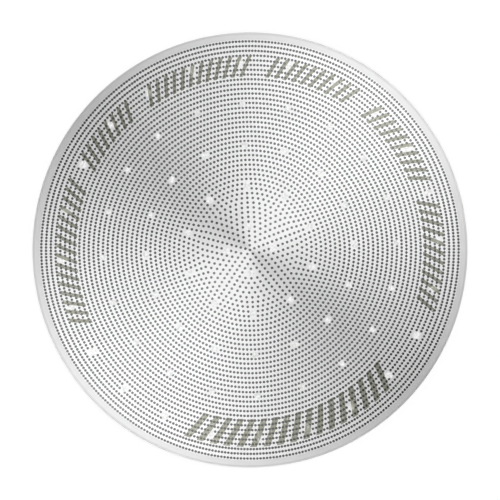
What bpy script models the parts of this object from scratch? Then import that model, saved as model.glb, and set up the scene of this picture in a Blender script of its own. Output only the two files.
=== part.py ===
"""Espresso puck screen: one round, finely perforated stainless plate.

The screen lies flat with its lower face on the plane z = 0 and its centre on the Z axis.
It is a stack of etched sheets that weld spots have made into one plate, so it is one solid.

The real plate has about 7,800 holes of 0.28 mm. Each hole of this model stands for a patch
of them and has the open area of that patch. The model's rings of holes run between the
circles of weld spots, two to each gap.
"""

import math

import bmesh
import bpy
from mathutils import Matrix

# Driving dimensions, in metres.

DISC_DIAMETER = 0.053
THICKNESS = 0.0008
EDGE_RADIUS = 0.00012

# The perforation of the real plate: rings of small holes round one centre hole.
HOLE_DIAMETER = 0.00028
RING_PITCH = 0.0005775
RIM_WIDTH = 0.00095

# One model hole stands for this many real ones.
HOLES_IN_PATCH = 24

# The weld spots, on circles counted from the edge inwards.
SPOT_DIAMETER = 0.0010
SPOT_DEPTH = 0.00006
SPOT_EDGE_DISTANCE = 0.0037
SPOT_CIRCLE_PITCH = 0.0050
SPOTS_ON_CIRCLE = (24, 20, 16, 10, 4)

# Metal that stays between a weld spot and the nearest hole.
SPOT_LAND = 0.00004

# Every ring of holes and every circle of spots starts on this line.
START_ANGLE = math.radians(90)

# Facets.
RIM_SEGMENTS = 96
EDGE_SEGMENTS = 2
HOLE_SIDES = 6
SPOT_SIDES = 8

# How far a cutter reaches past the plate.
CUTTER_REACH = 0.0005

# Finish of the bare steel.
STEEL_COLOR = (0.62, 0.62, 0.61, 1.0)
STEEL_ROUGHNESS = 0.32
STEEL_METALLIC = 1.0

# Worked out from the driving dimensions.

DISC_RADIUS = DISC_DIAMETER / 2
FIELD_RADIUS = DISC_RADIUS - RIM_WIDTH
MODEL_HOLE_RADIUS = HOLE_DIAMETER / 2 * math.sqrt(HOLES_IN_PATCH)
MODEL_RING_PITCH = SPOT_CIRCLE_PITCH / 2


def corner_radius(radius, sides):
    """Radius of the corners of a polygon that has the area of a circle."""
    return radius * math.sqrt(2 * math.pi / (sides * math.sin(2 * math.pi / sides)))


def on_circle(radius, turn):
    """Point on a circle, a share of a full turn from the start line."""
    angle = START_ANGLE + 2 * math.pi * turn
    return radius * math.cos(angle), radius * math.sin(angle)


def holes_on_ring(ring):
    """Real holes on a ring, by its number from the centre outwards. A part of a ring counts too."""
    if ring <= 10:
        return 5 * ring
    if ring <= 40:
        return 10 * (ring - 5)
    if ring <= 41:
        return 350
    return 400


def spot_circles():
    """Radii of the circles of weld spots, from the edge inwards."""
    outermost = DISC_RADIUS - SPOT_EDGE_DISTANCE
    radii = [outermost - index * SPOT_CIRCLE_PITCH for index in range(len(SPOTS_ON_CIRCLE))]
    return [radius for radius in radii if radius > SPOT_DIAMETER]


def spot_places():
    """Centres of the weld spots, circle by circle."""
    places = []
    for radius, count in zip(spot_circles(), SPOTS_ON_CIRCLE):
        places += [on_circle(radius, step / count) for step in range(count)]
    return places


def hole_circles():
    """Radii of the model's rings of holes: one along the rim, then two inside each spot circle."""
    radii = [FIELD_RADIUS - corner_radius(MODEL_HOLE_RADIUS, HOLE_SIDES)]
    for circle in spot_circles():
        radii += [circle - MODEL_RING_PITCH / 2, circle - MODEL_RING_PITCH * 3 / 2]
    return [radius for radius in radii if radius > MODEL_HOLE_RADIUS]


def clear_of_spots(place, spots):
    """True where a model hole leaves every weld spot whole."""
    reach = MODEL_HOLE_RADIUS + SPOT_DIAMETER / 2 + SPOT_LAND
    return all(math.dist(place, spot) >= reach for spot in spots)


def hole_places(spots):
    """Centres of the model holes, as densely as the real holes lie at each radius."""
    places = []
    for radius in hole_circles():
        real_holes = holes_on_ring(radius / RING_PITCH) * MODEL_RING_PITCH / RING_PITCH
        count = math.ceil(real_holes / HOLES_IN_PATCH)
        circle = [on_circle(radius, step / count) for step in range(count)]
        places += [place for place in circle if clear_of_spots(place, spots)]
    return places


def collection(name):
    """New collection in the scene."""
    made = bpy.data.collections.new(name)
    bpy.context.scene.collection.children.link(made)
    return made


def steel():
    """Bare stainless steel."""
    material = bpy.data.materials.new("stainless_steel")
    material.use_nodes = True
    shader = material.node_tree.nodes["Principled BSDF"]
    shader.inputs["Base Color"].default_value = STEEL_COLOR
    shader.inputs["Roughness"].default_value = STEEL_ROUGHNESS
    shader.inputs["Metallic"].default_value = STEEL_METALLIC
    return material


def into(obj, name, target):
    """Name an object and move it to a collection of its own."""
    obj.name = name
    for owner in list(obj.users_collection):
        owner.objects.unlink(obj)
    target.objects.link(obj)
    return obj


def plate(target):
    """The blank: a flat round plate with its two edges rounded."""
    bpy.ops.mesh.primitive_cylinder_add(
        vertices=RIM_SEGMENTS,
        radius=DISC_RADIUS,
        depth=THICKNESS,
        end_fill_type="NGON",
        location=(0, 0, THICKNESS / 2),
    )
    blank = into(bpy.context.active_object, "screen_disc", target)
    rounding = blank.modifiers.new("edge_rounding", "BEVEL")
    rounding.width = min(EDGE_RADIUS, THICKNESS * 0.45)
    rounding.segments = EDGE_SEGMENTS
    rounding.limit_method = "ANGLE"
    rounding.angle_limit = math.radians(60)
    return blank


def cutter(name, places, sides, bottom_radius, top_radius, bottom, top, target):
    """One cutter with a straight or tapered body at each place, a flat side towards the centre."""
    shape = bmesh.new()
    for x, y in places:
        facing = Matrix.Rotation(math.atan2(y, x), 4, "Z")
        bmesh.ops.create_cone(
            shape,
            cap_ends=True,
            cap_tris=False,
            segments=sides,
            radius1=bottom_radius,
            radius2=top_radius,
            depth=top - bottom,
            matrix=Matrix.Translation((x, y, (top + bottom) / 2)) @ facing,
        )
    bmesh.ops.recalc_face_normals(shape, faces=shape.faces)
    mesh = bpy.data.meshes.new(name)
    shape.to_mesh(mesh)
    shape.free()
    made = bpy.data.objects.new(name, mesh)
    target.objects.link(made)
    made.hide_render = True
    made.display_type = "WIRE"
    return made


def cut(body, tool):
    """Take a cutter away from a body."""
    step = body.modifiers.new("cut_" + tool.name, "BOOLEAN")
    step.operation = "DIFFERENCE"
    step.solver = "EXACT"
    step.object = tool


def build():
    """The whole screen."""
    for old in list(bpy.data.objects):
        bpy.data.objects.remove(old, do_unlink=True)

    parts = collection("puck_screen")
    cutters = collection("cutters")

    spots = spot_places()
    holes = hole_places(spots)

    disc = plate(parts)
    disc.data.materials.append(steel())

    hole_corner = corner_radius(MODEL_HOLE_RADIUS, HOLE_SIDES)
    drills = cutter(
        "hole_cutter", holes, HOLE_SIDES, hole_corner, hole_corner,
        -CUTTER_REACH, THICKNESS + CUTTER_REACH, cutters,
    )
    cut(disc, drills)

    # Each dish is a cone on its tip. It is carried on up past the face by one more depth.
    dishes = cutter(
        "spot_cutter", spots, SPOT_SIDES, 0, SPOT_DIAMETER,
        THICKNESS - SPOT_DEPTH, THICKNESS + SPOT_DEPTH, cutters,
    )
    cut(disc, dishes)

    disc.data.shade_smooth()
    disc.data.set_sharp_from_angle(angle=math.radians(20))


build()
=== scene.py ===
# %% [markdown]
# # Espresso puck screen
#
# A puck screen is a round steel plate with thousands of tiny holes. It lies on the coffee in the
# basket of an espresso machine and spreads the water. This one is 53 mm across and 0.8 mm thick.
# Thin etched sheets are stacked and held together by rows of small weld spots, then the face gets a
# fine circular grain, which makes the bright and dark fans that turn round its centre.
#
# The lesson builds the two sheets, the grain, the weld spots and the marks, then lights them.
#
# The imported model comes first. It gives the screen's real size, so nothing here has to be fitted.

import math

import bpy
from mathutils import Matrix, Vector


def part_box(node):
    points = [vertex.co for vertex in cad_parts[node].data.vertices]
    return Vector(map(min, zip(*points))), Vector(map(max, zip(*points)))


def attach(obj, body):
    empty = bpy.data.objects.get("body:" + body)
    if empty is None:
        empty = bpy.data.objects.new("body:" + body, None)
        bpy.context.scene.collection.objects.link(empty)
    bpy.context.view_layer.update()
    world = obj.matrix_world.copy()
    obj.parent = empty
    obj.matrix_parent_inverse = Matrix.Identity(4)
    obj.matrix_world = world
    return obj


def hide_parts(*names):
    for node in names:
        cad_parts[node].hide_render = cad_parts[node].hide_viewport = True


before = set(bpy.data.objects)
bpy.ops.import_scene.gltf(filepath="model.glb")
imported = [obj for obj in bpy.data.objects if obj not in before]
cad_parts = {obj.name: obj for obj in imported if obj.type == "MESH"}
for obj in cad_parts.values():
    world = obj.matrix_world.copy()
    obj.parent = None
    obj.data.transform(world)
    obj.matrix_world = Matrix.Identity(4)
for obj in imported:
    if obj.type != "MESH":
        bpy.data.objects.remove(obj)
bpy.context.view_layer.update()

low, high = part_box("screen_disc")
DISC_RADIUS = (high.x - low.x) / 2
THICKNESS = high.z - low.z
print(f"disc {DISC_RADIUS * 2000:.2f} mm across, {THICKNESS * 1000:.2f} mm thick")

# %% [markdown]
# ## The rule behind the holes
#
# The holes look scattered near the middle and like whorls further out, but they follow one rule.
# They lie on rings a fixed step apart, and every ring starts on the same line. What changes is how
# many holes share a ring: five more with each ring near the centre, then ten more, then a fixed
# number along the rim. Writing down the rule is shorter and truer than placing holes by eye.
#
# With thousands of holes, each can have only five sides. The radii below reach to the corners, and
# the larger one gives the area of a round hole about 0.30 mm across.

# %% Hole rings
MM = 0.001
RING_PITCH = 0.5775 * MM
RING_COUNT = 44
INNER_RINGS = 10
INNER_STEP = 5
MIDDLE_RINGS = 40
MIDDLE_STEP = 10
NEXT_RING_HOLES = 350
OUTER_RING_HOLES = 400
HOLE_RADIUS = 0.174 * MM
LOWER_HOLE_RADIUS = 0.065 * MM
HOLE_SIDES = 5


def holes_on_ring(ring):
    """How many holes share a ring, counted from the centre outwards."""
    if ring <= INNER_RINGS:
        return INNER_STEP * ring
    if ring <= MIDDLE_RINGS:
        return INNER_STEP * INNER_RINGS + MIDDLE_STEP * (ring - INNER_RINGS)
    if ring == MIDDLE_RINGS + 1:
        return NEXT_RING_HOLES
    return OUTER_RING_HOLES


def on_circle(radius, turn):
    """Point on a circle, a share of a full turn from the start line, which is +Y."""
    angle = math.pi / 2 + 2 * math.pi * turn
    return radius * math.cos(angle), radius * math.sin(angle)


print("places for holes:", 1 + sum(holes_on_ring(ring) for ring in range(1, RING_COUNT + 1)))

# %% [markdown]
# ## The weld spots
#
# The weld spots lie on five circles, 5 mm apart. A spot closes the few holes that it covers, so
# those holes are left out. The same circles are used three times: to leave out holes, to press a
# shallow dish into the face, and to paint the mottled patch.

# %% Weld spot places
SPOT_CIRCLES = ((2.8 * MM, 4), (7.8 * MM, 10), (12.8 * MM, 16), (17.8 * MM, 20), (22.8 * MM, 24))
SPOT_REACH = 0.42 * MM
SPOT_DEPTH = 0.03 * MM

spots = [on_circle(radius, step / count) for radius, count in SPOT_CIRCLES for step in range(count)]


def nearest_spot(x, y):
    """Distance from a point to the nearest weld spot."""
    return min(math.hypot(x - spot_x, y - spot_y) for spot_x, spot_y in spots)


print("weld spots:", len(spots))

# %% [markdown]
# ## Drawing a sheet
#
# A perforated sheet could be a plate with thousands of Boolean cuts, but that is slow. It is
# quicker to draw the outlines, as a laser cutter would: one small circle is spun round the centre
# to make each ring, the rings and the rim are joined, and one Fill turns the drawing into a face.
#
# Fill treats points closer than about 0.00003 units as one, which in metres is over a third of the
# side of the narrower holes. So the drawing is made a thousand times too large, in millimetres, and
# is scaled to metres at the end.

# %% Drawing helpers
DRAWING = 1 / MM
RIM_SEGMENTS = 240
SPOT_SIDES = 8
SPOT_LOOP_RADIUS = 0.22 * MM
MERGE_DISTANCE = 0.001


def deselect_all():
    """Nothing is selected, in object mode."""
    bpy.ops.object.select_all(action="DESELECT")


def pick(objects):
    """Only these objects are selected, and the first is active."""
    deselect_all()
    for obj in objects:
        obj.select_set(True)
    bpy.context.view_layer.objects.active = objects[0]


def drawn_circle(radius, sides, x=0.0, y=0.0):
    """One outline, at drawing scale."""
    deselect_all()
    bpy.ops.mesh.primitive_circle_add(
        vertices=sides, radius=radius * DRAWING, location=(x * DRAWING, y * DRAWING, 0)
    )
    bpy.ops.object.transform_apply(location=True, rotation=True, scale=True)
    return bpy.context.active_object


def spin_copies(obj, count):
    """Spin one outline into a full ring of copies."""
    pick([obj])
    bpy.ops.object.mode_set(mode="EDIT")
    bpy.ops.mesh.select_all(action="SELECT")
    bpy.ops.mesh.spin(
        steps=count, dupli=True, angle=2 * math.pi, center=(0, 0, 0), axis=(0, 0, 1)
    )
    bpy.ops.mesh.select_all(action="SELECT")
    bpy.ops.mesh.remove_doubles(threshold=MERGE_DISTANCE)
    bpy.ops.object.mode_set(mode="OBJECT")


def select_vertices(obj, wanted):
    """Select the vertices that a test picks, with nothing else selected."""
    mesh = obj.data
    bpy.context.tool_settings.mesh_select_mode = (True, False, False)
    mesh.polygons.foreach_set("select", [False] * len(mesh.polygons))
    mesh.edges.foreach_set("select", [False] * len(mesh.edges))
    mesh.vertices.foreach_set("select", [bool(wanted(v.co)) for v in mesh.vertices])


def hole_ring(ring, hole_radius):
    """One ring of hole outlines, without those that a weld spot closes."""
    radius = ring * RING_PITCH
    count = holes_on_ring(ring)
    obj = drawn_circle(hole_radius, HOLE_SIDES, 0.0, radius)
    spin_copies(obj, count)

    def closed(co):
        turn = (math.atan2(co.y, co.x) - math.pi / 2) / (2 * math.pi)
        x, y = on_circle(radius, round(turn * count) / count)
        return nearest_spot(x, y) < SPOT_REACH

    select_vertices(obj, closed)
    bpy.ops.object.mode_set(mode="EDIT")
    bpy.ops.mesh.delete(type="VERT")
    bpy.ops.object.mode_set(mode="OBJECT")
    return obj


print("one unit of the drawing is 1 mm, and a hole has", HOLE_SIDES, "sides")

# %% [markdown]
# ## From drawing to face
#
# The joined outlines are filled once. In a drawing this dense and regular, Fill can leave part of the
# face empty, and whether it does depends on how the drawing is turned. A whole face always takes the
# same number of triangles: its points, plus two for each inner outline, less two. So the drawing is
# turned a little and filled, and if the count is wrong, the next turn is tried.
#
# The small loops inside the weld spots are closed and poked, which gives each spot a middle vertex
# that can be pressed in later. The rim is drawn where the flat face ends and its rounding begins.

# %% Filled face
EDGE_ROUND = 0.12 * MM
FILL_TURNS = (0.37, 1.1, 0.0)
LOOP_REACH = 1.05 * SPOT_LOOP_RADIUS


def outlines(hole_radius):
    """Every outline of one sheet, joined: centre hole, rings, weld spot loops and rim."""
    drawn = [drawn_circle(hole_radius, HOLE_SIDES)]
    drawn += [hole_ring(ring, hole_radius) for ring in range(1, RING_COUNT + 1)]
    for radius, count in SPOT_CIRCLES:
        loop = drawn_circle(SPOT_LOOP_RADIUS, SPOT_SIDES, 0.0, radius)
        spin_copies(loop, count)
        drawn.append(loop)
    drawn.append(drawn_circle(DISC_RADIUS - EDGE_ROUND, RIM_SEGMENTS))
    pick(drawn)
    bpy.ops.object.join()
    return bpy.context.active_object


def whole_face_count(mesh):
    """How many triangles fill the outlines when no part of the face stays empty."""
    in_holes = len(mesh.vertices) - RIM_SEGMENTS - len(spots) * SPOT_SIDES
    inner_outlines = in_holes // HOLE_SIDES + len(spots)
    return len(mesh.vertices) + 2 * inner_outlines - 2


def fill_outlines(obj):
    """Fill between the outlines, at the first turn of the drawing that fills the whole face."""
    drawing = obj.data.copy()
    wanted = whole_face_count(drawing)
    for turn in FILL_TURNS:
        obj.data = drawing.copy()
        obj.data.transform(Matrix.Rotation(turn, 4, "Z"))
        pick([obj])
        bpy.ops.object.mode_set(mode="EDIT")
        bpy.ops.mesh.select_all(action="SELECT")
        bpy.ops.mesh.fill(use_beauty=False)
        bpy.ops.object.mode_set(mode="OBJECT")
        obj.data.transform(Matrix.Rotation(-turn, 4, "Z"))
        made = len(obj.data.polygons)
        print(f"{obj.name} filled at a turn of {turn}: {made} of {wanted} triangles")
        if made == wanted:
            break
    obj.data.name = obj.name
    bpy.data.meshes.remove(drawing)


def close_spots(obj):
    """Close and poke the loops inside the weld spots."""
    select_vertices(obj, lambda co: nearest_spot(co.x * MM, co.y * MM) < LOOP_REACH)
    bpy.ops.object.mode_set(mode="EDIT")
    bpy.ops.mesh.edge_face_add()
    bpy.ops.mesh.mark_sharp()
    bpy.ops.mesh.poke()
    bpy.ops.object.mode_set(mode="OBJECT")


print(f"the flat face ends {EDGE_ROUND * DRAWING} mm inside the rim")

# %% [markdown]
# ## From face to sheet
#
# Extruding the face makes the walls of every hole and of the rim in one step, and closes the shell.
# The middle vertex of each weld spot is then moved a few hundredths of a millimetre into the face,
# which turns the spot into a shallow dish.

# %% Thickness and dishes
SMOOTH_ANGLE = math.radians(30)


def thicken(obj, bottom, top):
    """Lift the face to the sheet's lower side and extrude it to the upper side."""
    bpy.ops.object.mode_set(mode="EDIT")
    bpy.ops.mesh.select_mode(type="FACE")
    bpy.ops.mesh.select_all(action="SELECT")
    bpy.ops.transform.translate(value=(0, 0, bottom * DRAWING))
    bpy.ops.mesh.extrude_region_move(
        TRANSFORM_OT_translate={"value": (0, 0, (top - bottom) * DRAWING)}
    )
    bpy.ops.mesh.select_all(action="SELECT")
    bpy.ops.mesh.normals_make_consistent(inside=False)
    bpy.ops.object.mode_set(mode="OBJECT")


def sheet(name, hole_radius, bottom, top):
    """One perforated sheet, still at drawing scale."""
    obj = outlines(hole_radius)
    obj.name = name
    fill_outlines(obj)
    close_spots(obj)
    thicken(obj, bottom, top)
    return obj


def press_spots(obj, face_height, depth):
    """Move the middle of every weld spot down by a depth. On the underside the depth is a minus."""
    for vertex in obj.data.vertices:
        on_face = abs(vertex.co.z - face_height * DRAWING) < MERGE_DISTANCE
        if on_face and nearest_spot(vertex.co.x * MM, vertex.co.y * MM) < SPOT_LOOP_RADIUS / 2:
            vertex.co.z -= depth * DRAWING


def to_metres(obj):
    """Bring a finished drawing to its real size and shade it."""
    pick([obj])
    bpy.ops.transform.resize(value=(MM, MM, MM), center_override=(0, 0, 0))
    bpy.ops.object.transform_apply(location=True, rotation=True, scale=True)
    bpy.ops.object.shade_smooth_by_angle(angle=SMOOTH_ANGLE)
    obj.data.calc_loop_triangles()
    print(obj.name, "triangles:", len(obj.data.loop_triangles))


print("a weld spot is pressed in by", round(SPOT_DEPTH * DRAWING, 3), "mm")

# %% [markdown]
# ## A rounded rim
#
# The plate's edge is softly rounded. A bevel slides along the long triangles of the face and
# overshoots, so the rim's wall is cut into level rings instead, and each ring is pushed out to its
# place on a rounded profile. The face stays as it was filled, so no triangle is dragged over a hole.
# Its outline is marked sharp, which keeps the shading of the rounding off the flat face.

# %% Rounded rim
EDGE_STEPS = 4
RIM_REACH = 0.999 * (DISC_RADIUS - EDGE_ROUND) * DRAWING
FLATNESS = MERGE_DISTANCE / 10


def on_rim(co):
    """True for a place further out than every hole."""
    return math.hypot(co.x, co.y) > RIM_REACH


def rim_profile(bottom, top, low_round, high_round):
    """Inset and height of each ring of the rim's wall, from the bottom up."""
    points = []
    for step in range(EDGE_STEPS + 1):
        angle = math.pi / 2 * step / EDGE_STEPS
        points.append((low_round * (1 - math.sin(angle)), bottom + low_round * (1 - math.cos(angle))))
    for step in range(EDGE_STEPS + 1):
        angle = math.pi / 2 * step / EDGE_STEPS
        points.append((high_round * (1 - math.cos(angle)), top - high_round * (1 - math.sin(angle))))
    if low_round < EDGE_ROUND:
        points.insert(0, (EDGE_ROUND, bottom))
    if high_round < EDGE_ROUND:
        points.append((EDGE_ROUND, top))
    return points


def cut_rim(obj, cuts):
    """Cut the upright edges of the rim's wall, which makes level rings."""
    mesh = obj.data
    rim = [on_rim(vertex.co) for vertex in mesh.vertices]
    select_vertices(obj, lambda co: False)
    for edge in mesh.edges:
        first, second = edge.vertices
        if rim[first] and rim[second]:
            rise = abs(mesh.vertices[first].co.z - mesh.vertices[second].co.z)
            edge.select = rise > MERGE_DISTANCE
    bpy.context.tool_settings.mesh_select_mode = (False, True, False)
    bpy.ops.object.mode_set(mode="EDIT")
    bpy.ops.mesh.subdivide(number_cuts=cuts)
    bpy.ops.object.mode_set(mode="OBJECT")


def round_rim(obj, bottom, top, low_round, high_round):
    """Push the rim's rings out to a rounded profile, and mark where the flat faces end."""
    points = rim_profile(bottom, top, low_round, high_round)
    cut_rim(obj, len(points) - 2)
    for vertex in obj.data.vertices:
        if on_rim(vertex.co):
            level = round((vertex.co.z / DRAWING - bottom) / (top - bottom) * (len(points) - 1))
            inset, height = points[level]
            stretch = (DISC_RADIUS - inset) * DRAWING / math.hypot(vertex.co.x, vertex.co.y)
            vertex.co = (vertex.co.x * stretch, vertex.co.y * stretch, height * DRAWING)

    def ends_flat_face(co):
        height = min(abs(co.z - bottom * DRAWING), abs(co.z - top * DRAWING))
        return height < FLATNESS and on_rim(co)

    select_vertices(obj, ends_flat_face)
    bpy.ops.object.mode_set(mode="EDIT")
    bpy.ops.mesh.mark_sharp()
    bpy.ops.object.mode_set(mode="OBJECT")


print("each rounding has", EDGE_STEPS, "steps")

# %% [markdown]
# ## Two sheets
#
# Seen close, a hole is not an empty shaft: a ledge of the sheet below shows inside it, and it takes
# the same bright and dark fans as the face. So the upper sheet is thin with the holes at full size,
# and the lower sheet carries the same pattern with narrower holes. The edges where the sheets meet
# are hardly rounded, so that no groove shows between them.

# %% Upper and lower sheet
SEAM_HEIGHT = THICKNESS - 0.3 * MM
SEAM_ROUND = 0.01 * MM

upper_sheet = sheet("upper_sheet", HOLE_RADIUS, SEAM_HEIGHT, THICKNESS)
round_rim(upper_sheet, SEAM_HEIGHT, THICKNESS, SEAM_ROUND, EDGE_ROUND)
press_spots(upper_sheet, THICKNESS, SPOT_DEPTH)
to_metres(upper_sheet)

lower_sheet = sheet("lower_sheet", LOWER_HOLE_RADIUS, 0.0, SEAM_HEIGHT)
round_rim(lower_sheet, 0.0, SEAM_HEIGHT, EDGE_ROUND, SEAM_ROUND)
press_spots(lower_sheet, 0.0, -SPOT_DEPTH)
to_metres(lower_sheet)

for piece in (upper_sheet, lower_sheet):
    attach(piece, "root")
    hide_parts("screen_disc")

# %% [markdown]
# ## Nodes in words
#
# The finishes need a fair amount of arithmetic: distances to spots, angles round the disc. A few
# small helpers keep that readable. One makes a node group with named sockets, one makes a Math node
# and wires whatever it is given, a socket or a plain number, and the rest fade and blend by a mask.

# %% Node helpers
def new_group(name, inputs, outputs):
    """A shader node group. Inputs are names with default values, and outputs are names."""
    group = bpy.data.node_groups.new(name, "ShaderNodeTree")
    for label, value in inputs.items():
        kind = "NodeSocketFloat" if isinstance(value, (int, float)) else "NodeSocketVector"
        socket = group.interface.new_socket(name=label, in_out="INPUT", socket_type=kind)
        if kind == "NodeSocketFloat":
            socket.default_value = value
    for label in outputs:
        group.interface.new_socket(name=label, in_out="OUTPUT", socket_type="NodeSocketFloat")
    source = group.nodes.new("NodeGroupInput")
    target = group.nodes.new("NodeGroupOutput")
    return group, source.outputs, target.inputs


def wire(tree, value, socket):
    """Give a socket a plain number or the output of another node."""
    if isinstance(value, (int, float)):
        socket.default_value = value
    else:
        tree.links.new(value, socket)


def math_node(tree, operation, *values):
    """The output of one Math node."""
    node = tree.nodes.new("ShaderNodeMath")
    node.operation = operation
    for value, socket in zip(values, node.inputs):
        wire(tree, value, socket)
    return node.outputs[0]


def use_group(tree, group, **values):
    """Place a group and set its inputs."""
    node = tree.nodes.new("ShaderNodeGroup")
    node.node_tree = group
    for label, value in values.items():
        wire(tree, value, node.inputs[label])
    return node.outputs


def step_down(tree, value, edge, softness):
    """1 where a value is below an edge, 0 above it, with a soft change between."""
    node = tree.nodes.new("ShaderNodeMapRange")
    node.interpolation_type = "SMOOTHSTEP"
    wire(tree, value, node.inputs["Value"])
    node.inputs["From Min"].default_value = edge - softness
    node.inputs["From Max"].default_value = edge + softness
    node.inputs["To Min"].default_value = 1.0
    node.inputs["To Max"].default_value = 0.0
    return node.outputs["Result"]


def near(tree, value, centre, reach):
    """1 where a value is within reach of a centre, and 0 elsewhere."""
    away = math_node(tree, "ABSOLUTE", math_node(tree, "SUBTRACT", value, centre))
    return math_node(tree, "LESS_THAN", away, reach)


def mix_value(tree, mask, first, second):
    """Blend from one number to another by a mask."""
    change = math_node(tree, "SUBTRACT", second, first)
    return math_node(tree, "ADD", math_node(tree, "MULTIPLY", change, mask), first)


def mix_color(tree, mask, first, second):
    """Blend from the first colour to the second by a mask."""
    node = tree.nodes.new("ShaderNodeMix")
    node.data_type = "RGBA"
    wire(tree, mask, node.inputs["Factor"])
    for value, socket in ((first, node.inputs[6]), (second, node.inputs[7])):
        if isinstance(value, tuple):
            socket.default_value = value
        else:
            tree.links.new(value, socket)
    return node.outputs[2]


print("node helpers ready")

# %% [markdown]
# ## Where am I on the disc?
#
# Everything on this face is round, so each finish asks for its place as a radius and a turn. The
# group below works both out from Object coordinates. It gives the radius in millimetres, and the
# turn as a share of a full turn, once measured from the start line and once from the far side.

# %% Polar position group
def make_polar_group():
    """A node group that turns a place into a radius in millimetres and two turns."""
    group, given, result = new_group(
        "polar_position", {"Position": None}, ("Radius", "Turn", "Far Turn")
    )
    split = group.nodes.new("ShaderNodeSeparateXYZ")
    group.links.new(given["Position"], split.inputs[0])
    x, y = split.outputs["X"], split.outputs["Y"]
    square = math_node(group, "ADD", math_node(group, "MULTIPLY", x, x), math_node(group, "MULTIPLY", y, y))
    radius = math_node(group, "MULTIPLY", math_node(group, "SQRT", square), DRAWING)
    turn = math_node(group, "DIVIDE", math_node(group, "ARCTAN2", x, y), 2 * math.pi)
    minus_y = math_node(group, "MULTIPLY", y, -1.0)
    far_turn = math_node(group, "DIVIDE", math_node(group, "ARCTAN2", x, minus_y), 2 * math.pi)
    group.links.new(radius, result["Radius"])
    group.links.new(turn, result["Turn"])
    group.links.new(far_turn, result["Far Turn"])
    return group


polar_group = make_polar_group()
print("made", polar_group.name)

# %% [markdown]
# ## Weld spot mask
#
# One circle of spots repeats the same sector, so the turn is folded until only the nearest spot is
# left, and its distance is a right triangle: along the circle and across it. The nearest of five
# such circles makes the mask.

# %% Weld spot groups
SPOT_EDGE = 0.42
SPOT_SOFTNESS = 0.12
FAR_AWAY = 100.0


def make_spot_circle_group():
    """A node group for the distance to the nearest spot on one circle, in millimetres."""
    group, given, result = new_group(
        "spot_circle", {"Radius": 0.0, "Turn": 0.0, "Circle": 1.0, "Count": 1.0}, ("Distance",)
    )
    folded = math_node(group, "MULTIPLY", given["Turn"], given["Count"])
    folded = math_node(group, "SUBTRACT", folded, math_node(group, "ROUND", folded))
    angle = math_node(group, "MULTIPLY", folded, 2 * math.pi)
    arc = math_node(group, "DIVIDE", angle, given["Count"])
    along = math_node(group, "MULTIPLY", arc, given["Circle"])
    across = math_node(group, "SUBTRACT", given["Radius"], given["Circle"])
    along_square = math_node(group, "MULTIPLY", along, along)
    across_square = math_node(group, "MULTIPLY", across, across)
    square = math_node(group, "ADD", along_square, across_square)
    group.links.new(math_node(group, "SQRT", square), result["Distance"])
    return group


def make_spots_group(circle_group):
    """A node group that is 1 on the weld spots and fades to 0 around them."""
    group, given, result = new_group("weld_spots", {"Radius": 0.0, "Turn": 0.0}, ("Mask",))
    nearest = FAR_AWAY
    for radius, count in SPOT_CIRCLES:
        circle = use_group(
            group, circle_group, Radius=given["Radius"], Turn=given["Turn"],
            Circle=radius * DRAWING, Count=count,
        )
        nearest = math_node(group, "MINIMUM", nearest, circle["Distance"])
    group.links.new(step_down(group, nearest, SPOT_EDGE, SPOT_SOFTNESS), result["Mask"])
    return group


spots_group = make_spots_group(make_spot_circle_group())
print("made", spots_group.name)

# %% [markdown]
# ## Marks burnt into the face
#
# A laser leaves dull olive marks in a band near the rim. Here they are plain slanted bars that say
# nothing, in six runs with a gap between them. The band is cut into cells along its arc, a bar
# fills part of each cell, and shifting the cells with the radius makes the bars lean. A second,
# bolder band on the far side uses the same group with wider cells.

# %% Bar band group
def make_bar_group():
    """A node group that is 1 on a band of slanted bars, and gives the number of each bar's cell."""
    group, given, result = new_group(
        "bar_band",
        {
            "Radius": 0.0, "Turn": 0.0, "Inner": 1.0, "Outer": 2.0, "Start": 0.0, "End": 1.0,
            "Cells": 1.0, "Lean": 0.0, "Fill": 0.5,
        },
        ("Mask", "Cell"),
    )
    depth = math_node(group, "SUBTRACT", given["Outer"], given["Inner"])
    above = math_node(group, "SUBTRACT", given["Radius"], given["Inner"])
    up = math_node(group, "SUBTRACT", math_node(group, "DIVIDE", above, depth), 0.5)
    span = math_node(group, "SUBTRACT", given["End"], given["Start"])
    passed = math_node(group, "SUBTRACT", given["Turn"], given["Start"])
    along = math_node(group, "DIVIDE", passed, span)
    place = math_node(group, "MULTIPLY", along, given["Cells"])
    place = math_node(group, "SUBTRACT", place, math_node(group, "MULTIPLY", up, given["Lean"]))
    cell = math_node(group, "FLOOR", place)
    half = math_node(group, "MULTIPLY", given["Cells"], 0.5)
    inside = near(group, cell, math_node(group, "SUBTRACT", half, 0.5), half)
    across = math_node(group, "SUBTRACT", math_node(group, "SUBTRACT", place, cell), 0.5)
    bar = near(group, across, 0.0, math_node(group, "MULTIPLY", given["Fill"], 0.5))
    mask = math_node(group, "MULTIPLY", bar, inside)
    mask = math_node(group, "MULTIPLY", mask, near(group, up, 0.0, 0.5))
    group.links.new(mask, result["Mask"])
    group.links.new(cell, result["Cell"])
    return group


bar_group = make_bar_group()
print("made", bar_group.name)

# %% [markdown]
# ## Circular grain
#
# The grain is thousands of hair-fine scratches that run round the centre. A noise that is stretched
# along the turn and squeezed along the radius gives such scratches. The fine lines go to a very weak
# bump, because the broad fans come from the shader's anisotropy instead. A second, broader noise is
# a faint cloud in the colour.

# %% Grain group
# Each row: the output, how fast it changes along the radius, and how fast round the turn.
GRAIN_ROWS = (("Lines", 14.0, 9.0), ("Cloud", 0.5, 14.0))
GRAIN_DETAIL = 3.0


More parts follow.
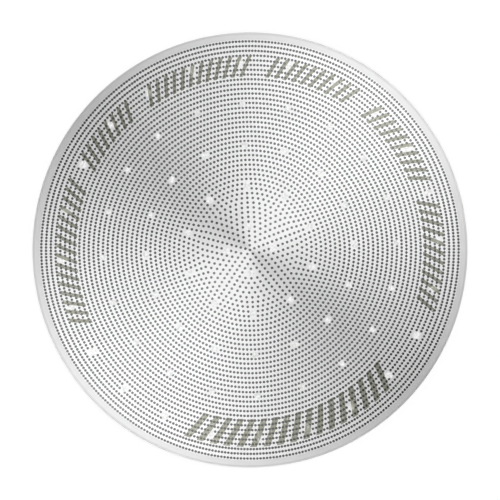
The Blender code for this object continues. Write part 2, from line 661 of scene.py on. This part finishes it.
def make_grain_group():
    """A node group with the fine lines and the cloud of a turned face."""
    outputs = tuple(label for label, radius_scale, turn_scale in GRAIN_ROWS)
    group, given, result = new_group("circular_grain", {"Radius": 0.0, "Turn": 0.0}, outputs)
    for label, radius_scale, turn_scale in GRAIN_ROWS:
        place = group.nodes.new("ShaderNodeCombineXYZ")
        wire(group, math_node(group, "MULTIPLY", given["Radius"], radius_scale), place.inputs["X"])
        angle = math_node(group, "MULTIPLY", given["Turn"], 2 * math.pi)
        around = math_node(group, "MULTIPLY", math_node(group, "COSINE", angle), turn_scale)
        across = math_node(group, "MULTIPLY", math_node(group, "SINE", angle), turn_scale)
        wire(group, around, place.inputs["Y"])
        wire(group, across, place.inputs["Z"])
        noise = group.nodes.new("ShaderNodeTexNoise")
        noise.inputs["Scale"].default_value = 1.0
        noise.inputs["Detail"].default_value = GRAIN_DETAIL
        group.links.new(place.outputs[0], noise.inputs["Vector"])
        group.links.new(noise.outputs["Fac"], result[label])
    return group


grain_group = make_grain_group()
print("made", grain_group.name)

# %% [markdown]
# ## Bare steel, from centre to edge
#
# The face is satin rather than a mirror, so it is only partly metallic. It gets a little darker
# towards the rim, the plain rim is darker than the perforated field, and a fine line along the edge
# is darker still, as painted shade for the dark room that the rounded edge reflects. The walls of
# the holes and the ledges inside them are painted dark, as painted shade for the depth of the holes.
# Each of these is one mask over the disc and one share of the brightness, and they are multiplied.

# %% Steel brightness
STEEL_TONE = 0.80
CLOUD_TONES = (0.97, 1.03)
OUTER_SHARE = 0.90
OUTER_CURVE = 4.0
FIELD_EDGE = 25.6
FIELD_SOFTNESS = 0.1
FIELD_SHARE = 1.20
# Painted shade: the walls of the holes and the ledges below them are greyed down for the shade deep in the
# holes.
WALL_PAINTED_SHADE = 0.10
# Painted shade: a thin darker line along the rounded edge, for the dark room that it reflects.
EDGE_PLACE = 26.22
EDGE_SOFTNESS = 0.06
EDGE_PAINTED_SHADE = 0.88
LEDGE_PAINTED_SHADE = 0.19


def steel_color(tree, outwards, radius, cloud, field, wall, paints_ledge_shade):
    """The bare steel's grey at every place of a sheet, with painted shade in the holes and on the edge
    line.
    """
    fade = math_node(tree, "POWER", outwards, OUTER_CURVE)
    edge = math_node(tree, "SUBTRACT", 1.0, step_down(tree, radius, EDGE_PLACE, EDGE_SOFTNESS))
    # The wall and edge shares, and the ledge share below, paint shade into the grey.
    shares = [(fade, OUTER_SHARE), (field, FIELD_SHARE), (wall, WALL_PAINTED_SHADE), (edge, EDGE_PAINTED_SHADE)]
    # Painted shade on the ledges of the lower sheet.
    if paints_ledge_shade:
        shares.append((field, LEDGE_PAINTED_SHADE))
    tone = mix_value(tree, cloud, *CLOUD_TONES)
    for mask, share in shares:
        tone = math_node(tree, "MULTIPLY", tone, mix_value(tree, mask, 1.0, share))
    tone = math_node(tree, "MULTIPLY", tone, STEEL_TONE)
    color = tree.nodes.new("ShaderNodeCombineColor")
    for channel in ("Red", "Green", "Blue"):
        tree.links.new(tone, color.inputs[channel])
    return color.outputs[0]


print("the field is brightest, at most", round(STEEL_TONE * FIELD_SHARE * CLOUD_TONES[1], 3))

# %% [markdown]
# ## Placing the marks
#
# The bars of the ring lie in one band, and leaving out five cells cuts it into six runs. The wider
# bars lean the other way, on the far side. Both are only on the upper face, not on the walls or the
# rounding, and a noise wears them thin in places, as the laser's burn does on rough metal.

# %% Burnt marks
RING_BARS = dict(Inner=21.1, Outer=23.6, Start=-0.309, End=0.309, Cells=78, Lean=1.0, Fill=0.42)
WIDE_BARS = dict(Inner=20.6, Outer=24.0, Start=-0.06, End=0.1257, Cells=17, Lean=-1.0, Fill=0.5)
FREE_CELLS = (16.5, 26.5, 40.5, 52.5, 64.5)
FREE_REACH = 0.6
MARK_LEVEL = THICKNESS - 0.06 * MM
WEAR_EDGE = 0.62
WEAR_SOFTNESS = 0.06
WORN_SHARE = 0.55


def burnt_marks(tree, polar, height, flat, noise):
    """1 where the marks are burnt in, less where they are worn, and 0 elsewhere."""
    bars = use_group(tree, bar_group, Radius=polar["Radius"], Turn=polar["Turn"], **RING_BARS)
    mark = bars["Mask"]
    for cell in FREE_CELLS:
        free = near(tree, bars["Cell"], cell, FREE_REACH)
        mark = math_node(tree, "MULTIPLY", mark, math_node(tree, "SUBTRACT", 1.0, free))
    wide = use_group(tree, bar_group, Radius=polar["Radius"], Turn=polar["Far Turn"], **WIDE_BARS)
    mark = math_node(tree, "MAXIMUM", mark, wide["Mask"])
    upper = math_node(tree, "GREATER_THAN", height, MARK_LEVEL)
    mark = math_node(tree, "MULTIPLY", math_node(tree, "MULTIPLY", mark, flat), upper)
    kept = step_down(tree, noise, WEAR_EDGE, WEAR_SOFTNESS)
    return math_node(tree, "MULTIPLY", mark, mix_value(tree, kept, WORN_SHARE, 1.0))


print("the ring of bars has", len(FREE_CELLS) + 1, "runs")

# %% [markdown]
# ## Brushed steel
#
# Light that falls on a turned face spreads across the scratches and hardly along them. The
# Principled shader does that with Anisotropic, and its Tangent input says which way is across: here
# it is the direction away from the centre, straight from Object coordinates.
#
# The face is rougher near the middle than at the rim. The marks are smoother than the face, the
# walls of the holes are rough, and the weld spots are pale, rough and flecked, with a stronger bump,
# because metal that has melted and set scatters light and has lost its grain.

# %% Steel material
MARK_COLOR = (0.36, 0.365, 0.30, 1.0)
SPOT_COLOR = (0.98, 0.98, 0.98, 1.0)
FLECK_COLOR = (0.80, 0.80, 0.79, 1.0)
FLECK_EDGE = 0.50
FLECK_SOFTNESS = 0.10
FACE_METALLIC = 0.57
LEDGE_METALLIC = 1.0
SPOT_METALLIC = 0.1
CENTRE_ROUGHNESS = 0.57
RIM_ROUGHNESS = 0.43
LEDGE_ROUGHNESS = 0.28
WALL_ROUGHNESS = 0.9
MARK_ROUGHNESS = 0.34
SPOT_ROUGHNESS = 0.60
MOTTLE_SCALE = 3600.0
MOTTLE_DETAIL = 2.0
SPOT_RELIEF = 6.0
BUMP_STRENGTH = 0.08
BUMP_DISTANCE = 0.02 * MM
FLAT_LEVEL = 0.7


def mottle_noise(tree, position):
    """A fine noise for the flecks of the weld spots and the wear of the marks."""
    noise = tree.nodes.new("ShaderNodeTexNoise")
    noise.inputs["Scale"].default_value = MOTTLE_SCALE
    noise.inputs["Detail"].default_value = MOTTLE_DETAIL
    tree.links.new(position, noise.inputs["Vector"])
    return noise.outputs["Fac"]


def add_relief(tree, shader, lines, spot_mask, mottle):
    """A weak bump from the grain, and a stronger one on the weld spots."""
    spot_height = math_node(tree, "MULTIPLY", mottle, SPOT_RELIEF)
    height = math_node(tree, "ADD", lines, math_node(tree, "MULTIPLY", spot_mask, spot_height))
    bump = tree.nodes.new("ShaderNodeBump")
    bump.inputs["Strength"].default_value = BUMP_STRENGTH
    bump.inputs["Distance"].default_value = BUMP_DISTANCE
    tree.links.new(height, bump.inputs["Height"])
    tree.links.new(bump.outputs["Normal"], shader.inputs["Normal"])


def steel_material(name, is_upper):
    """Brushed steel. The upper sheet has the satin face and the marks, the lower one the ledges."""
    material = bpy.data.materials.new(name)
    material.use_nodes = True
    tree = material.node_tree
    shader = tree.nodes["Principled BSDF"]
    shader.inputs["Anisotropic"].default_value = 1.0

    place = tree.nodes.new("ShaderNodeTexCoord")
    position = place.outputs["Object"]
    polar = use_group(tree, polar_group, Position=position)
    radius, turn = polar["Radius"], polar["Turn"]
    split = tree.nodes.new("ShaderNodeSeparateXYZ")
    tree.links.new(position, split.inputs[0])
    across = tree.nodes.new("ShaderNodeCombineXYZ")
    tree.links.new(split.outputs["X"], across.inputs["X"])
    tree.links.new(split.outputs["Y"], across.inputs["Y"])
    tree.links.new(across.outputs[0], shader.inputs["Tangent"])
    facing = tree.nodes.new("ShaderNodeSeparateXYZ")
    tree.links.new(place.outputs["Normal"], facing.inputs[0])
    upright = math_node(tree, "ABSOLUTE", facing.outputs["Z"])
    flat = math_node(tree, "GREATER_THAN", upright, FLAT_LEVEL)

    outwards = math_node(tree, "DIVIDE", radius, DISC_RADIUS * DRAWING)
    field = step_down(tree, radius, FIELD_EDGE, FIELD_SOFTNESS)
    wall = math_node(tree, "MULTIPLY", field, math_node(tree, "SUBTRACT", 1.0, flat))
    grain = use_group(tree, grain_group, Radius=radius, Turn=turn)
    weld = use_group(tree, spots_group, Radius=radius, Turn=turn)
    spot_mask = math_node(tree, "MULTIPLY", weld["Mask"], flat)
    mottle = mottle_noise(tree, position)
    fleck = step_down(tree, mottle, FLECK_EDGE, FLECK_SOFTNESS)

    color = steel_color(tree, outwards, radius, grain["Cloud"], field, wall, not is_upper)
    spot_color = mix_color(tree, fleck, SPOT_COLOR, FLECK_COLOR)
    color = mix_color(tree, spot_mask, color, spot_color)
    if is_upper:
        roughness = mix_value(tree, outwards, CENTRE_ROUGHNESS, RIM_ROUGHNESS)
    else:
        roughness = mix_value(tree, field, RIM_ROUGHNESS, LEDGE_ROUGHNESS)
    roughness = mix_value(tree, spot_mask, roughness, SPOT_ROUGHNESS)
    if is_upper:
        mark = burnt_marks(tree, polar, split.outputs["Z"], flat, mottle)
        color = mix_color(tree, mark, color, MARK_COLOR)
        roughness = mix_value(tree, mark, roughness, MARK_ROUGHNESS)
    roughness = mix_value(tree, wall, roughness, WALL_ROUGHNESS)
    metallic = FACE_METALLIC if is_upper else LEDGE_METALLIC
    metallic = mix_value(tree, spot_mask, metallic, SPOT_METALLIC)

    tree.links.new(color, shader.inputs["Base Color"])
    tree.links.new(roughness, shader.inputs["Roughness"])
    tree.links.new(metallic, shader.inputs["Metallic"])
    add_relief(tree, shader, grain["Lines"], spot_mask, mottle)
    return material


for piece, is_upper in ((upper_sheet, True), (lower_sheet, False)):
    piece.data.materials.clear()
    piece.data.materials.append(steel_material("steel_" + piece.name, is_upper))
print("steel on", upper_sheet.name, "and", lower_sheet.name)

# %% [markdown]
# ## Floor
#
# The screen lies on a plain white floor. The floor itself is a mid grey that the dome lights, and it
# glows enough to be seen as white, so it still takes the screen's shadow. Only rays from the camera,
# from metal and through glass see the glow: the screen can mirror the white floor but isn't lit by
# it. The glow stops at the rim, because the floor under the screen is dark and shows in the holes.

# %% Floor
FLOOR_SIZE = 2.0
FLOOR_COLOR = (0.35, 0.35, 0.35, 1.0)
FLOOR_ROUGHNESS = 0.9
FLOOR_GLOW = 0.67


def make_floor():
    """The floor, which is part of the stage and not of the screen."""
    deselect_all()
    bpy.ops.mesh.primitive_plane_add(size=FLOOR_SIZE, location=(0, 0, 0))
    obj = bpy.context.active_object
    obj.name = "floor"
    material = bpy.data.materials.new("white_floor")
    material.use_nodes = True
    tree = material.node_tree
    shader = tree.nodes["Principled BSDF"]
    shader.inputs["Base Color"].default_value = FLOOR_COLOR
    shader.inputs["Roughness"].default_value = FLOOR_ROUGHNESS
    shader.inputs["Emission Color"].default_value = (1.0, 1.0, 1.0, 1.0)
    place = tree.nodes.new("ShaderNodeTexCoord")
    polar = use_group(tree, polar_group, Position=place.outputs["Object"])
    outside = math_node(tree, "GREATER_THAN", polar["Radius"], DISC_RADIUS * DRAWING)
    rays = tree.nodes.new("ShaderNodeLightPath")
    seen = math_node(tree, "MAXIMUM", rays.outputs["Is Camera Ray"], rays.outputs["Is Glossy Ray"])
    seen = math_node(tree, "MAXIMUM", seen, rays.outputs["Is Transmission Ray"])
    glow = math_node(tree, "MULTIPLY", math_node(tree, "MULTIPLY", seen, outside), FLOOR_GLOW)
    tree.links.new(glow, shader.inputs["Emission Strength"])
    obj.data.materials.append(material)


make_floor()
print("floor", FLOOR_SIZE, "m square")

# %% [markdown]
# ## Light
#
# A face with circular grain shows the room as fans: each direction from the centre reflects the
# strip of room that lies in line with it. So the room's light is drawn here as one soft dome with a
# bright line across it, in zones by height.
#
# Right overhead it is dark, where the camera stands. High up it is bright along the line and dark
# across it, which makes the fans, and only this light reaches down into the holes. A dark shoulder
# keeps the next zone apart, and the broad zone around lights the face from the sides, most of all
# halfway between along and across.

# %% Dome
BRIGHT_TURN = math.radians(48)
# Each row: the top of a zone, where 1 is overhead, then the light across the line, halfway and
# along it, and a power that gathers the light towards the line.
ZONES = (
    (0.988, 0.00, 0.00, 6.80, 1.1),
    (0.900, 0.00, 0.00, 0.00, 1.0),
    (0.640, 0.75, 3.95, 0.40, 1.0),
)
ZONE_SOFTNESS = 0.02
BELOW = 0.8


def turn_share(tree, x, y):
    """0 across the bright line and 1 along it, even in angle."""
    line_x, line_y = math.cos(BRIGHT_TURN), math.sin(BRIGHT_TURN)
    along_x = math_node(tree, "MULTIPLY", x, line_x)
    along = math_node(tree, "ADD", along_x, math_node(tree, "MULTIPLY", y, line_y))
    across_x = math_node(tree, "MULTIPLY", x, -line_y)
    across = math_node(tree, "ADD", across_x, math_node(tree, "MULTIPLY", y, line_x))
    along = math_node(tree, "ABSOLUTE", along)
    across = math_node(tree, "ABSOLUTE", across)
    return math_node(tree, "DIVIDE", math_node(tree, "ARCTAN2", along, across), math.pi / 2)


def make_dome():
    """The world: zones of light for the screen, and plain white for the camera."""
    world = bpy.data.worlds.new("studio_dome")
    bpy.context.scene.world = world
    world.use_nodes = True
    tree = world.node_tree
    background = tree.nodes["Background"]
    place = tree.nodes.new("ShaderNodeTexCoord")
    split = tree.nodes.new("ShaderNodeSeparateXYZ")
    tree.links.new(place.outputs["Generated"], split.inputs[0])
    x, y, z = split.outputs
    fan = turn_share(tree, x, y)

    light = 0.0
    for top, across_light, middle_light, along_light, curve in ZONES:
        turned = math_node(tree, "POWER", fan, curve)
        first = mix_value(tree, turned, across_light, middle_light)
        second = mix_value(tree, turned, middle_light, along_light)
        zone = mix_value(tree, turned, first, second)
        light = mix_value(tree, step_down(tree, z, top, ZONE_SOFTNESS), light, zone)
    above = math_node(tree, "GREATER_THAN", z, 0.0)
    light = mix_value(tree, above, BELOW, light)
    rays = tree.nodes.new("ShaderNodeLightPath")
    light = mix_value(tree, rays.outputs["Is Camera Ray"], light, 1.0)
    tree.links.new(light, background.inputs["Strength"])
    background.inputs["Color"].default_value = (1.0, 1.0, 1.0, 1.0)


make_dome()
bpy.context.scene.view_settings.view_transform = "Standard"
print("dome is brightest along", round(math.degrees(BRIGHT_TURN)), "degrees")

# %% [markdown]
# ## Camera
#
# The camera looks straight down from far away through a long lens, so the disc keeps its true
# outline. It is rolled a little, because the start line of the holes leans to one side in the
# frame, and aimed a hair off the centre, where the disc lies in the frame.

# %% Camera
FRAME_PIXELS = 500
DISC_PIXELS = 217.6
CENTRE_PIXELS = (249.95, 249.95)
START_LEAN = math.radians(2.92)
CAMERA_DISTANCE = 0.8
SENSOR_WIDTH = 36.0
CLIP_START = 0.01
CLIP_END = 10.0


def make_camera():
    """The camera, with its lens worked out from how many pixels the disc's radius takes."""
    camera = bpy.data.objects.new("camera", bpy.data.cameras.new("camera"))
    bpy.context.scene.collection.objects.link(camera)
    pixel = DISC_RADIUS / DISC_PIXELS
    width = FRAME_PIXELS * pixel
    camera.data.sensor_width = SENSOR_WIDTH
    camera.data.lens = SENSOR_WIDTH * CAMERA_DISTANCE / width
    right = (FRAME_PIXELS / 2 - CENTRE_PIXELS[0]) * pixel
    up = (CENTRE_PIXELS[1] - FRAME_PIXELS / 2) * pixel
    turn = -START_LEAN
    x = right * math.cos(turn) - up * math.sin(turn)
    y = right * math.sin(turn) + up * math.cos(turn)
    camera.location = (x, y, THICKNESS + CAMERA_DISTANCE)
    camera.rotation_euler = (0, 0, turn)
    camera.data.clip_start = CLIP_START
    camera.data.clip_end = CLIP_END
    bpy.context.scene.camera = camera
    return camera


camera = make_camera()
print(f"lens {camera.data.lens:.0f} mm at {CAMERA_DISTANCE} m")

# %% [markdown]
# ## Finish
#

# %% Finish
print("scene ready")
